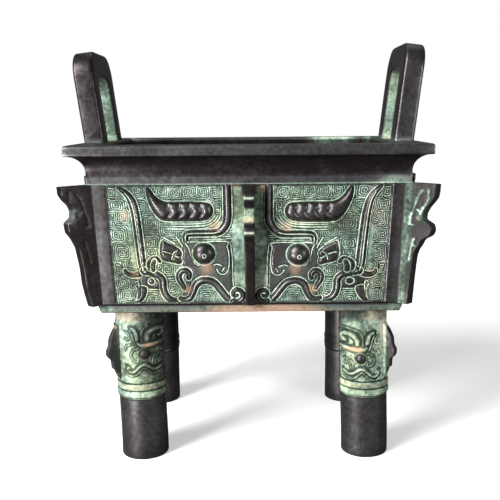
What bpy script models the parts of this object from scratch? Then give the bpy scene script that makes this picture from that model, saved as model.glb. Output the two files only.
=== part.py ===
"""A square bronze ding: a cast four-legged vessel with a box body and two upright handles.

Metres, +Z up. The origin is on the floor under the middle of the vessel, X runs
along the long sides, and the vessel is one casting: body, rim, handles, flanges,
raised masks and legs together.
"""
import math

import bmesh
import bpy
from mathutils import Matrix, Vector

MM = 0.001

# Legs and the height that they lift the body to
LEG_HEIGHT = 95 * MM
LEG_RADIUS = 14.7 * MM
FOOT_RADIUS = 14.5 * MM
LEG_INSET = 19.8 * MM
RING_TOP = 49 * MM
RING_BULGE = 0.9 * MM
RING_HEIGHT = 4.6 * MM
RING_GROOVE_SHARE = 0.1
RING_CROWN_SHARES = (0.35, 0.75)
LEG_FLANGE_REACH = 7.8 * MM
LEG_FLANGE_THICKNESS = 4 * MM
LEG_FLANGE_BOTTOM = 50.5 * MM
LEG_FLANGE_HEIGHT = 34 * MM
LEG_FLANGE_ANGLE = math.radians(35)

# Body, measured at its lower edge and widening upwards
BODY_LENGTH = 182 * MM
BODY_WIDTH = 136 * MM
BODY_HEIGHT = 76.5 * MM
BODY_FLARE = 3.2 * MM
WALL = 5 * MM
FLOOR = 5 * MM
BASE_HEIGHT = 5.4 * MM
BASE_INSET = 1 * MM
BASE_SLOPE = 1.3 * MM

# Neck and rim
NECK_HEIGHT = 16.5 * MM
NECK_STEP = 0.7 * MM
COVE_RADIUS = 9.6 * MM
LIP_HEIGHT = 6 * MM
LIP_OVERHANG = 0.6 * MM
EDGE_ROUND = 0.8 * MM

# Handles standing on the short sides of the rim
HANDLE_HEIGHTS = {"left": 56 * MM, "right": 60 * MM}
HANDLE_WIDTH = 64 * MM
HANDLE_BAR = 15 * MM
HANDLE_THICKNESS = 12.5 * MM
HANDLE_SETBACK = 1.8 * MM
HANDLE_CORNER = 15 * MM
HANDLE_INNER_CORNER = 9 * MM
HANDLE_SOFTEN = 2 * MM
HANDLE_LEAN = math.radians(7)

# Flanges on the corners and on the middle of each side
FLANGE_THICKNESS = 6 * MM
FLANGE_REACH = 15.2 * MM
CORNER_FLANGE_REACH = 16.3 * MM

# Sunk panel on each side and the relief inside it
PANEL_BORDER = 11.5 * MM
PANEL_TOP_BORDER = 0.3 * MM
PANEL_BOTTOM_BORDER = 0.6 * MM
PANEL_DEPTH = 1.2 * MM
BAND_RELIEF = 1.9 * MM
BROW_RELIEF = 3 * MM
EYE_RELIEF = 4.5 * MM
PLATE_RELIEF = 1 * MM

# How far pieces are rooted in what carries them, and cutters stand clear of it
FLANGE_ROOT = 0.6 * WALL
HANDLE_ROOT = 0.5 * LIP_HEIGHT
LEG_ROOT = 0.6 * FLOOR
RELIEF_ROOT = 1 * MM
SINK = 0.15 * MM
CUTTER_REACH = 6 * MM

# Facets of the round forms
LEG_SIDES = 18
COVE_STEPS = 4
CORNER_STEPS = 3
EYE_SEGMENTS = 10
EYE_RINGS = 6
WELD = 0.01 * MM

# A round curve of the coarsest kind has six sides, and its flat top lies this
# share of its radius up
SIX_SIDED_TOP = math.sin(math.radians(60))

BRONZE_COLOUR = (0.045, 0.04, 0.042)
BRONZE_ROUGHNESS = 0.42
BRONZE_METALLIC = 0.75

BODY_BOTTOM = LEG_HEIGHT
BODY_TOP = BODY_BOTTOM + BODY_HEIGHT
COVE_TOP = BODY_TOP + NECK_HEIGHT
RIM_TOP = COVE_TOP + LIP_HEIGHT
PANEL_BOTTOM = BODY_BOTTOM + BASE_HEIGHT + PANEL_BOTTOM_BORDER
PANEL_HEIGHT = BODY_TOP - PANEL_TOP_BORDER - PANEL_BOTTOM
FLARE_SLOPE = BODY_FLARE / (BODY_HEIGHT - BASE_HEIGHT)

# The mask of one half panel is drawn on a grid this wide and high, from the
# middle of the side (0) to the panel's edge (80) and from its bottom up (70).
GRID_WIDTH = 80
GRID_HEIGHT = 70


def body_spread(height):
    """How far the body's side has moved out at a height, from its lower edge."""
    return (height - BODY_BOTTOM - BASE_HEIGHT) * FLARE_SLOPE


def clear_scene():
    for item in list(bpy.data.objects):
        bpy.data.objects.remove(item, do_unlink=True)


def add_collection(name):
    collection = bpy.data.collections.new(name)
    bpy.context.scene.collection.children.link(collection)
    return collection


def bronze(name, colour, roughness, metallic):
    material = bpy.data.materials.new(name)
    material.use_nodes = True
    shader = material.node_tree.nodes["Principled BSDF"]
    shader.inputs["Base Color"].default_value = (*colour, 1)
    shader.inputs["Roughness"].default_value = roughness
    shader.inputs["Metallic"].default_value = metallic
    return material


def add_object(name, data, collection, guide=True):
    """Link new data as an object; guides only shape the vessel."""
    item = bpy.data.objects.new(name, data)
    collection.objects.link(item)
    if guide:
        item.hide_render = True
        item.display_type = "WIRE"
    return item


def set_shape(work, squash, deepest, matrix):
    """Flatten a shape along its own Z, trim what would be buried deep, and place it."""
    for vert in work.verts:
        vert.co.z = max(vert.co.z * squash, -deepest)
    work.transform(matrix)


def mesh_of_curve(name, curve, collection, matrix=Matrix.Identity(4), squash=1.0, deepest=1.0):
    """Turn a curve into a closed mesh and set its shape."""
    source = bpy.data.objects.new(name + " curve", curve)
    collection.objects.link(source)
    graph = bpy.context.evaluated_depsgraph_get()
    mesh = bpy.data.meshes.new_from_object(source.evaluated_get(graph))
    bpy.data.objects.remove(source, do_unlink=True)
    work = bmesh.new()
    work.from_mesh(mesh)
    bmesh.ops.remove_doubles(work, verts=work.verts, dist=WELD)
    set_shape(work, squash, deepest, matrix)
    work.to_mesh(mesh)
    work.free()
    return add_object(name, mesh, collection)


def plate(name, outline, thickness, collection, matrix, soften=0.0):
    """A flat outline in local XY, its thickness shared to both sides of the plane."""
    curve = bpy.data.curves.new(name, "CURVE")
    curve.dimensions = "2D"
    curve.fill_mode = "BOTH"
    curve.extrude = thickness / 2 - soften
    curve.bevel_depth = soften
    curve.bevel_resolution = 0
    curve.offset = -soften
    spline = curve.splines.new("POLY")
    spline.points.add(len(outline) - 1)
    spline.use_cyclic_u = True
    for point, (x, y) in zip(spline.points, outline):
        point.co = (x, y, 0, 1)
    return mesh_of_curve(name, curve, collection, matrix)


def ridge(name, points, height, collection, matrix):
    """A rounded band through (x, y, half width) points, raised by a height."""
    curve = bpy.data.curves.new(name, "CURVE")
    curve.dimensions = "3D"
    curve.bevel_depth = 1
    curve.bevel_resolution = 1
    curve.use_fill_caps = True
    curve.resolution_u = 2
    spline = curve.splines.new("BEZIER")
    spline.bezier_points.add(len(points) - 1)
    for point, (x, y, half_width) in zip(spline.bezier_points, points):
        point.co = (x, y, 0)
        point.handle_left_type = "AUTO"
        point.handle_right_type = "AUTO"
        point.radius = half_width
    widest = max(point[2] for point in points)
    squash = (height + SINK) / (widest * SIX_SIDED_TOP)
    sunk = matrix @ Matrix.Translation((0, 0, -SINK))
    return mesh_of_curve(name, curve, collection, sunk, squash, RELIEF_ROOT)


def dome(name, radius, height, collection, matrix):
    """The upper half of a flattened ball, rooted in the ground."""
    work = bmesh.new()
    bmesh.ops.create_uvsphere(work, u_segments=EYE_SEGMENTS, v_segments=EYE_RINGS, radius=radius)
    squash = (height + SINK) / radius
    set_shape(work, squash, RELIEF_ROOT, matrix @ Matrix.Translation((0, 0, -SINK)))
    mesh = bpy.data.meshes.new(name)
    work.to_mesh(mesh)
    work.free()
    return add_object(name, mesh, collection)


def stacked_box(name, sections, collection, guide=True):
    """A box drawn up through (half length, half width, height) sections."""
    work = bmesh.new()
    half_length, half_width, height = sections[0]
    place = Matrix.Translation((0, 0, height)) @ Matrix.Diagonal((half_length, half_width, 1, 1))
    bmesh.ops.create_grid(work, x_segments=1, y_segments=1, size=1, matrix=place)
    top = list(work.faces)
    bottom = bmesh.ops.duplicate(work, geom=top)["geom"]
    bmesh.ops.reverse_faces(work, faces=[part for part in bottom
                                         if isinstance(part, bmesh.types.BMFace)])
    for (last_length, last_width, last_height), (half_length, half_width, height) in zip(
            sections, sections[1:]):
        grown = bmesh.ops.extrude_face_region(work, geom=top)["geom"]
        bmesh.ops.delete(work, geom=top, context="FACES_ONLY")
        corners = [part for part in grown if isinstance(part, bmesh.types.BMVert)]
        top = [part for part in grown if isinstance(part, bmesh.types.BMFace)]
        for corner in corners:
            corner.co.x *= half_length / last_length
            corner.co.y *= half_width / last_width
            corner.co.z += height - last_height
    bmesh.ops.remove_doubles(work, verts=work.verts, dist=WELD)
    mesh = bpy.data.meshes.new(name)
    work.to_mesh(mesh)
    work.free()
    return add_object(name, mesh, collection, guide)


def spread_sections(profile):
    """Turn (distance outside the lower edge, height) points into box sections."""
    return [(BODY_LENGTH / 2 + out, BODY_WIDTH / 2 + out, height) for out, height in profile]


def arc(centre, radius, start, end, steps):
    """Points of an arc between two angles in degrees, both ends included."""
    points = []
    for step in range(steps + 1):
        angle = math.radians(start + (end - start) * step / steps)
        points.append((centre[0] + radius * math.cos(angle),
                       centre[1] + radius * math.sin(angle)))
    return points


def neck_out():
    return BODY_FLARE - NECK_STEP


def make_body(collection):
    """The box body with its base strip, neck, cove and lip, still solid."""
    neck = neck_out()
    profile = [
        (-BASE_INSET - BASE_SLOPE, BODY_BOTTOM),
        (-BASE_INSET, BODY_BOTTOM + BASE_HEIGHT - PANEL_BOTTOM_BORDER),
        (0, BODY_BOTTOM + BASE_HEIGHT),
        (BODY_FLARE, BODY_TOP),
        (neck, BODY_TOP + NECK_STEP / 2),
    ]
    cove = arc((neck + COVE_RADIUS, COVE_TOP - COVE_RADIUS), COVE_RADIUS, 180, 90, COVE_STEPS)
    profile += cove
    lip = neck + COVE_RADIUS + LIP_OVERHANG
    profile += [
        (lip, COVE_TOP + LIP_OVERHANG),
        (lip, RIM_TOP - EDGE_ROUND),
        (lip - EDGE_ROUND, RIM_TOP),
    ]
    return stacked_box("ding", spread_sections(profile), collection, guide=False)


def make_hollow(collection):
    """The space inside, a wall's thickness inside the outer faces."""
    floor = BODY_BOTTOM + FLOOR
    mouth = neck_out() - WALL
    profile = [
        (-WALL - EDGE_ROUND, floor),
        (body_spread(floor + EDGE_ROUND) - WALL, floor + EDGE_ROUND),
        (BODY_FLARE - WALL - NECK_STEP, BODY_TOP),
        (mouth, RIM_TOP - EDGE_ROUND),
        (mouth + 2 * EDGE_ROUND, RIM_TOP + EDGE_ROUND),
        (mouth + 2 * EDGE_ROUND, RIM_TOP + CUTTER_REACH),
    ]
    return stacked_box("hollow", spread_sections(profile), collection)


def side_frame(side, height):
    """Axes of a side's outer face at a height: across, up the face, and outwards."""
    half = BODY_WIDTH / 2 if side % 2 == 0 else BODY_LENGTH / 2
    out = half + body_spread(height)
    up = Vector((0, -FLARE_SLOPE, 1)).normalized()
    across = Vector((1, 0, 0))
    outwards = across.cross(up)
    frame = Matrix((across, up, outwards)).transposed().to_4x4()
    frame.translation = (0, -out, height)
    return Matrix.Rotation(math.radians(90 * side), 4, "Z") @ frame


def panel_half_width(side, up):
    """Half the width of a side's panel at a distance above its bottom."""
    half = BODY_LENGTH / 2 if side % 2 == 0 else BODY_WIDTH / 2
    return half + body_spread(PANEL_BOTTOM + up) - PANEL_BORDER


def make_panel(side, collection):
    """A shallow sunk field that leaves a plain border round the relief."""
    low = panel_half_width(side, 0)
    high = panel_half_width(side, PANEL_HEIGHT)
    outline = [(-low, 0), (low, 0), (high, PANEL_HEIGHT), (-high, PANEL_HEIGHT)]
    middle = Matrix.Translation((0, 0, CUTTER_REACH / 2 - PANEL_DEPTH))
    place = side_frame(side, PANEL_BOTTOM) @ middle
    return plate(f"panel {side}", outline, CUTTER_REACH, collection, place)


def on_panel(side, points, mirrored):
    """Scale (across, up, half width) grid points to one half of a side's panel."""
    unit = PANEL_HEIGHT / GRID_HEIGHT
    placed = []
    for across, up, half_width in points:
        stretch = panel_half_width(side, up * unit) / GRID_WIDTH
        placed.append((mirrored * across * stretch, up * unit, half_width * unit))
    return placed


# Raised bands of the mask: (across, up, half width) on the grid
MASK_BANDS = {
    "nose band": [(12.5, 69, 1.6), (12.5, 54, 1.7), (17, 43.4, 1.8), (33, 41.4, 1.6),
                  (36.8, 37, 0.9)],
    "outer bar": [(73, 69, 0.9), (65, 57, 2), (62.6, 28, 2), (52.6, 15.2, 1.8),
                  (46, 2.3, 1.2)],
    "jaw": [(9, 3.8, 2.2), (19, 11.4, 2.1), (30.5, 12, 2), (35.6, 3.4, 1.9), (41, 10.5, 1.7),
            (38, 19.6, 1.6), (35, 15.6, 1.2)],
}

# Smaller bands that only the long sides carry
SMALL_BANDS = {
    "bar foot": [(61.9, 18.3, 1.7), (68, 17, 1.6), (73, 20, 0.9)],
    "claw": [(66.6, 2.4, 1), (63.2, 8, 1.8), (62.7, 15.5, 1.4)],
    "ear": [(50.4, 35.2, 0.8), (46, 30, 3.6), (40.5, 26, 0.9)],
    "cheek scroll": [(58, 21.4, 0.8), (56.6, 25.7, 1.4), (52.4, 25, 0.9)],
}

# The brow, a thick plume that curls up to a point at the panel's top
BROW = [(57, 68.3, 0.9), (54.6, 60.6, 3.4), (47, 54.8, 5), (34, 54, 5.1), (20.8, 54.3, 4.6)]

# The low plate that the eye sits on, from its outer corner round to the nose
EYE_PLATE = [(37.5, 36.4), (13, 36.4), (11.6, 27), (12.6, 17.5), (18, 16.8), (33.5, 17.5),
             (36, 26)]
EYE_PLACE = (26.4, 29.1)
EYE_RADIUS = 5.8


def make_mask_half(side, mirrored, collection):
    """One half of a side's mask: bands, brow, eye plate and eyes."""
    ground = Matrix.Translation((0, 0, -PANEL_DEPTH))
    place = side_frame(side, PANEL_BOTTOM) @ ground
    label = f"{side} {'left' if mirrored < 0 else 'right'}"
    bands = MASK_BANDS | SMALL_BANDS if side % 2 == 0 else MASK_BANDS
    for name, points in bands.items():
        ridge(f"{name} {label}", on_panel(side, points, mirrored), BAND_RELIEF, collection, place)
    ridge(f"brow {label}", on_panel(side, BROW, mirrored), BROW_RELIEF, collection, place)
    flat = [(across, up) for across, up, width in
            on_panel(side, [(*point, 0) for point in EYE_PLATE], mirrored)]
    plate(f"eye plate {label}", flat, 2 * PLATE_RELIEF, collection, place)
    across, up, radius = on_panel(side, [(*EYE_PLACE, EYE_RADIUS)], mirrored)[0]
    dome(f"eye {label}", radius, EYE_RELIEF, collection,
         place @ Matrix.Translation((across, up, 0)))


# The hooked edge of each flange: (share of its reach, share of the panel's height)
FLANGE_EDGES = {
    "middle": [(0.25, 0), (0.33, 0.14), (0.4, 0.3), (0.46, 0.45), (0.6, 0.55), (0.86, 0.6),
               (0.93, 0.66), (0.62, 0.71), (0.58, 0.78), (0.72, 0.83), (0.9, 0.87), (1, 0.92),
               (1, 1)],
    "left": [(0.24, 0), (0.33, 0.1), (0.4, 0.2), (0.42, 0.33), (0.48, 0.43), (0.52, 0.5),
             (0.62, 0.55), (0.71, 0.59), (0.85, 0.63), (0.88, 0.71), (0.63, 0.745), (0.6, 0.8),
             (0.69, 0.85), (0.87, 0.89), (1, 0.94), (1, 1)],
    "right": [(0.22, 0), (0.25, 0.2), (0.28, 0.33), (0.31, 0.41), (0.38, 0.46), (0.5, 0.5),
              (0.6, 0.55), (0.9, 0.585), (0.97, 0.63), (0.9, 0.68), (0.57, 0.71), (0.58, 0.76),
              (0.69, 0.81), (0.84, 0.85), (0.97, 0.89), (1, 0.94), (1, 1)],
}


def upright_frame(angle, centre=(0, 0)):
    """A standing plane through a point: local X outwards at an angle, local Y up."""
    outwards = Vector((math.cos(angle), math.sin(angle), 0))
    up = Vector((0, 0, 1))
    frame = Matrix((outwards, up, outwards.cross(up))).transposed().to_4x4()
    frame.translation = (*centre, 0)
    return frame


def make_flange(name, profile, reach, angle, edge, slope, centre, collection):
    """A hooked flange rooted in the wall; its edge follows the body's flare."""
    outline = [(edge + slope * PANEL_HEIGHT - FLANGE_ROOT, PANEL_BOTTOM + PANEL_HEIGHT),
               (edge - FLANGE_ROOT, PANEL_BOTTOM)]
    for share, rise in FLANGE_EDGES[profile]:
        up = rise * PANEL_HEIGHT
        outline.append((edge + slope * up + share * reach, PANEL_BOTTOM + up))
    plate(name, outline, FLANGE_THICKNESS, collection, upright_frame(angle, centre))


def make_flanges(collection):
    spread = body_spread(PANEL_BOTTOM)
    for side in range(4):
        half = BODY_WIDTH / 2 if side % 2 == 0 else BODY_LENGTH / 2
        angle = math.radians(90 * side - 90)
        make_flange(f"middle flange {side}", "middle", FLANGE_REACH, angle, half + spread,
                    FLARE_SLOPE, (0, 0), collection)
    for corner, (along, across) in enumerate(((-1, -1), (1, -1), (1, 1), (-1, 1))):
        centre = (along * (BODY_LENGTH / 2 + spread), across * (BODY_WIDTH / 2 + spread))
        angle = math.atan2(across, along)
        make_flange(f"corner flange {corner}", "left" if along < 0 else "right",
                    CORNER_FLANGE_REACH, angle, 0, FLARE_SLOPE * math.sqrt(2), centre, collection)


def make_handle(name, turn, height, collection):
    """An upright handle like an upside-down U, leaning out a little."""
    half = HANDLE_WIDTH / 2
    inner = half - HANDLE_BAR
    inner_corner = min(HANDLE_INNER_CORNER, inner - EDGE_ROUND)
    inner_top = height - HANDLE_BAR
    outline = [(half, -HANDLE_ROOT)]
    outline += arc((half - HANDLE_CORNER, height - HANDLE_CORNER), HANDLE_CORNER, 0, 90,
                   CORNER_STEPS)
    outline += arc((HANDLE_CORNER - half, height - HANDLE_CORNER), HANDLE_CORNER, 90, 180,
                   CORNER_STEPS)
    outline += [(-half, -HANDLE_ROOT), (-inner, -HANDLE_ROOT)]
    outline += arc((inner_corner - inner, inner_top - inner_corner), inner_corner, 180, 90,
                   CORNER_STEPS)
    outline += arc((inner - inner_corner, inner_top - inner_corner), inner_corner, 90, 0,
                   CORNER_STEPS)
    outline.append((inner, -HANDLE_ROOT))
    rim_half = BODY_LENGTH / 2 + neck_out() + COVE_RADIUS + LIP_OVERHANG
    middle = rim_half - HANDLE_SETBACK - HANDLE_THICKNESS / 2
    stand = Matrix.Translation((middle, 0, RIM_TOP))
    lean = Matrix.Rotation(HANDLE_LEAN, 4, "Y")
    place = Matrix.Rotation(turn, 4, "Z") @ stand @ lean @ upright_frame(math.radians(90))
    plate(name, outline, HANDLE_THICKNESS, collection, place, HANDLE_SOFTEN)


def leg_profile():
    """Half section of a leg from its hidden top down to the foot."""
    rings_bottom = RING_TOP - 2 * RING_HEIGHT
    crown = LEG_RADIUS + RING_BULGE
    hidden_top = LEG_HEIGHT + LEG_ROOT
    profile = [(0, hidden_top), (LEG_RADIUS, hidden_top), (LEG_RADIUS, RING_TOP)]
    for number in range(2):
        top = RING_TOP - number * RING_HEIGHT
        profile.append((LEG_RADIUS - RING_BULGE, top - RING_GROOVE_SHARE * RING_HEIGHT))
        for share in RING_CROWN_SHARES:
            profile.append((crown, top - share * RING_HEIGHT))
    profile.append((FOOT_RADIUS, rings_bottom))
    profile.append((FOOT_RADIUS, EDGE_ROUND))
    profile.append((FOOT_RADIUS - EDGE_ROUND, 0))
    profile.append((0, 0))
    return profile


def make_leg_column(name, centre, collection):
    """A turned leg: its half section swept once round by a Screw."""
    work = bmesh.new()
    corners = [work.verts.new((radius, 0, height)) for radius, height in leg_profile()]
    for upper, lower in zip(corners, corners[1:]):
        work.edges.new((upper, lower))
    mesh = bpy.data.meshes.new(name)
    work.to_mesh(mesh)
    work.free()
    leg = add_object(name, mesh, collection)
    leg.location = (*centre, 0)
    screw = leg.modifiers.new("turned", "SCREW")
    screw.steps = LEG_SIDES
    screw.render_steps = LEG_SIDES
    screw.use_merge_vertices = True
    screw.merge_threshold = WELD


# Leg flange edge: (share of its reach, share of its height)
LEG_FLANGE_EDGE = [
    (0.15, 0.04), (0.32, 0.13), (0.4, 0.19), (0.58, 0.21), (0.63, 0.33), (0.68, 0.38),
    (0.86, 0.41), (1, 0.47), (1, 0.55), (0.8, 0.64), (0.74, 0.76), (0.58, 0.85), (0.35, 0.93),
    (0.12, 1),
]

# Bands of the small mask on a leg: (degrees from the diagonal, height share, half width share)
LEG_BANDS = {
    "horn": [(112, 0.76, 0.06), (81, 0.82, 0.07), (65, 0.66, 0.05)],
    "bar": [(41, 0.88, 0.06), (46, 0.57, 0.07)],
    "brow": [(118, 0.58, 0.06), (76, 0.56, 0.07), (44, 0.58, 0.06)],
    "mouth": [(107, 0.13, 0.05), (81, 0.1, 0.07), (60, 0.18, 0.07), (20, 0.08, 0.06)],
}
LEG_BAND_RELIEF = 0.9 * MM
LEG_EYE_PLACE = (57.7, 0.38)
LEG_EYE_RADIUS = 2.9 * MM
LEG_EYE_RELIEF = 2 * MM


def leg_point(centre, angle, share, radius):
    height = LEG_FLANGE_BOTTOM + share * LEG_FLANGE_HEIGHT
    return Vector((centre[0] + radius * math.cos(angle), centre[1] + radius * math.sin(angle),
                   height))


def make_leg_band(name, centre, diagonal, points, mirrored, collection):
    """A band of the leg's mask, laid round the column."""
    curve = bpy.data.curves.new(name, "CURVE")
    curve.dimensions = "3D"
    curve.bevel_depth = 1
    curve.bevel_resolution = 1
    curve.use_fill_caps = True
    spline = curve.splines.new("POLY")
    spline.points.add(len(points) - 1)
    for point, (degrees, share, width_share) in zip(spline.points, points):
        half_width = width_share * LEG_FLANGE_HEIGHT / 2
        radius = LEG_RADIUS + LEG_BAND_RELIEF - half_width
        angle = diagonal + mirrored * math.radians(degrees)
        point.co = (*leg_point(centre, angle, share, radius), 1)
        point.radius = half_width
    mesh_of_curve(name, curve, collection)


def make_leg(number, along, across, collection):
    """A leg with its outward flange and the two halves of its mask."""
    centre = (along * (BODY_LENGTH / 2 - BASE_INSET - LEG_INSET - EDGE_ROUND),
              across * (BODY_WIDTH / 2 - BASE_INSET - LEG_INSET - EDGE_ROUND))
    diagonal = math.atan2(across, along)
    make_leg_column(f"leg {number}", centre, collection)
    inner = LEG_RADIUS - FLANGE_ROOT
    outline = [(inner, LEG_FLANGE_BOTTOM + LEG_FLANGE_HEIGHT), (inner, LEG_FLANGE_BOTTOM)]
    for reach, rise in LEG_FLANGE_EDGE:
        outline.append((LEG_RADIUS + reach * LEG_FLANGE_REACH,
                        LEG_FLANGE_BOTTOM + rise * LEG_FLANGE_HEIGHT))
    flange_way = math.atan2(across * math.sin(LEG_FLANGE_ANGLE), along * math.cos(LEG_FLANGE_ANGLE))
    plate(f"leg flange {number}", outline, LEG_FLANGE_THICKNESS, collection,
          upright_frame(flange_way, centre))
    for mirrored in (-1, 1):
        for name, points in LEG_BANDS.items():
            make_leg_band(f"leg {name} {number} {mirrored}", centre, diagonal, points, mirrored,
                          collection)
        degrees, share = LEG_EYE_PLACE
        angle = diagonal + mirrored * math.radians(degrees)
        place = Matrix.Translation(leg_point(centre, angle, share, LEG_RADIUS))
        face = place @ Matrix.Rotation(angle, 4, "Z") @ Matrix.Rotation(math.pi / 2, 4, "Y")
        dome(f"leg eye {number} {mirrored}", LEG_EYE_RADIUS, LEG_EYE_RELIEF, collection, face)


def combine(item, operation, collection):
    """Cut a collection out of an object, or cast it on."""
    boolean = item.modifiers.new(collection.name, "BOOLEAN")
    boolean.operation = operation
    boolean.operand_type = "COLLECTION"
    boolean.collection = collection
    boolean.solver = "EXACT"


def make_ding():
    clear_scene()
    vessel = add_collection("square bronze ding")
    cut = add_collection("cut away")
    cast = add_collection("cast on")
    ding = make_body(vessel)
    ding.data.materials.append(
        bronze("dark bronze", BRONZE_COLOUR, BRONZE_ROUGHNESS, BRONZE_METALLIC))
    make_hollow(cut)
    for side in range(4):
        make_panel(side, cut)
        for mirrored in (-1, 1):
            make_mask_half(side, mirrored, cast)
    make_flanges(cast)
    make_handle("right handle", 0, HANDLE_HEIGHTS["right"], cast)
    make_handle("left handle", math.pi, HANDLE_HEIGHTS["left"], cast)
    corners = ((-1, -1), (1, -1), (1, 1), (-1, 1))
    for number, (along, across) in enumerate(corners):
        make_leg(number, along, across, cast)
    combine(ding, "DIFFERENCE", cut)
    combine(ding, "UNION", cast)


make_ding()
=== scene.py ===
"""A square bronze ding with a taotie mask on every side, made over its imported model."""
import math

import bmesh
import bpy
import numpy as np
from mathutils import Matrix, Vector


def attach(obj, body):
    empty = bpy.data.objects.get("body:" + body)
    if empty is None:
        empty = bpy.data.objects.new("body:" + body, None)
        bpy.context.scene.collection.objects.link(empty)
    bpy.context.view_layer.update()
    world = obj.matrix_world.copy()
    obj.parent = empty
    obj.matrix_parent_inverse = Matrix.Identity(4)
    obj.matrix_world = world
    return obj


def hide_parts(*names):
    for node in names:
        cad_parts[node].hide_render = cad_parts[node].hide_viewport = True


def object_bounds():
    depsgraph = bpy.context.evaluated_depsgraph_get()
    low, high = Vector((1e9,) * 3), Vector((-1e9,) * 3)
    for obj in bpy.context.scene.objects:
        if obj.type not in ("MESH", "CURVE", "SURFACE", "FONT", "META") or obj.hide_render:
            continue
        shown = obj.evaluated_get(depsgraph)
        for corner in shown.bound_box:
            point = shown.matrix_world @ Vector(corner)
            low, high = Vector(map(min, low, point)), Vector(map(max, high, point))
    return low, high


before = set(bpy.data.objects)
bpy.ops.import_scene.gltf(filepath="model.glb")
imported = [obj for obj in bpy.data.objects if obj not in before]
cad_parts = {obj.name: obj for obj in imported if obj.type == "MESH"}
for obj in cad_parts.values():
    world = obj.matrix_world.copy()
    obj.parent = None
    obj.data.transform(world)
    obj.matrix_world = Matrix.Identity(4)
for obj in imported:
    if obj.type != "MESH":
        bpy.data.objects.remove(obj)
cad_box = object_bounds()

MM = 0.001

# The walls of the vessel
# A ding is one casting of leaded bronze, poured between piece moulds: a box with thin walls
# that spreads upwards, a coved neck and a plain lip. Hands keep its edges dark and bare,
# while green and cream corrosion gathers in every hollow.


class Value:
    """A number in a material; arithmetic on it adds Math nodes."""

    def __init__(self, skin, socket):
        self.skin = skin
        self.socket = socket

    def math(self, operation, first, second):
        sockets = {0: first, 1: second}
        made = self.skin.node("ShaderNodeMath", {"operation": operation}, sockets)
        return Value(self.skin, made)

    def __add__(self, other):
        return self.math("ADD", self, other)

    def __sub__(self, other):
        return self.math("SUBTRACT", self, other)

    def __mul__(self, other):
        return self.math("MULTIPLY", self, other)

    def __rsub__(self, other):
        return self.math("SUBTRACT", other, self)

    __radd__ = __add__
    __rmul__ = __mul__

    def clamped(self):
        return self.math("MAXIMUM", self.math("MINIMUM", self, 1.0), 0.0)


class Skin:
    """A material in the making, with one way to add a node."""

    def __init__(self, name):
        self.material = bpy.data.materials.new(name)
        self.material.use_nodes = True
        self.tree = self.material.node_tree
        self.shader = self.tree.nodes["Principled BSDF"]

    def link(self, socket, value):
        source = value.socket if isinstance(value, Value) else value
        if isinstance(source, bpy.types.NodeSocket):
            self.tree.links.new(source, socket)
        else:
            socket.default_value = source

    def node(self, kind, settings=None, sockets=None, output=0):
        made = self.tree.nodes.new(kind)
        for name, setting in (settings or {}).items():
            if name == "stops":
                ramp = made.color_ramp
                while len(ramp.elements) < len(setting):
                    ramp.elements.new(1.0)
                for element, (place, colour) in zip(ramp.elements, setting):
                    element.position = place
                    element.color = (*colour, 1.0)
            else:
                setattr(made, name, setting)
        for name, value in (sockets or {}).items():
            self.link(made.inputs[name], value)
        return made.outputs[output]

    def noise(self, place, scale, detail, roughness):
        return Value(self, self.node("ShaderNodeTexNoise", None, {
            "Vector": place, "Scale": scale, "Detail": detail, "Roughness": roughness}))

    def mix(self, share, low, high, blend="MIX"):
        return self.node("ShaderNodeMix", {"data_type": "RGBA", "blend_type": blend}, {
            0: share, 6: low, 7: high}, output=2)

    def finish(self, **sockets):
        for name, value in sockets.items():
            self.link(self.shader.inputs[name.replace("_", " ")], value)


# The noises of the corrosion: (scale, detail, roughness), and how deep it pits the metal
PATCHES, GRAIN = (60.0, 3.0, 0.6), (420.0, 4.0, 0.65)
SPECKS, DRIFT = (1700.0, 2.0, 0.5), (28.0, 2.0, 0.5)
PITTING_DEPTH = 0.4 * MM
OLIVE_TINT, COPPER_EARTH = (1.0, 0.90, 0.74, 1.0), (0.50, 0.25, 0.15, 1.0)
GREENS = [(0.0, (0.008, 0.011, 0.009)), (0.2, (0.022, 0.036, 0.027)),
          (0.45, (0.085, 0.125, 0.095)), (0.7, (0.25, 0.36, 0.28)),
          (0.88, (0.47, 0.61, 0.49)), (1.0, (0.74, 0.73, 0.60))]
METALS = [(0.0, (0.036, 0.028, 0.028)), (0.3, (0.092, 0.086, 0.087)),
          (0.6, (0.198, 0.195, 0.203)), (1.0, (0.42, 0.42, 0.44))]


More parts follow.
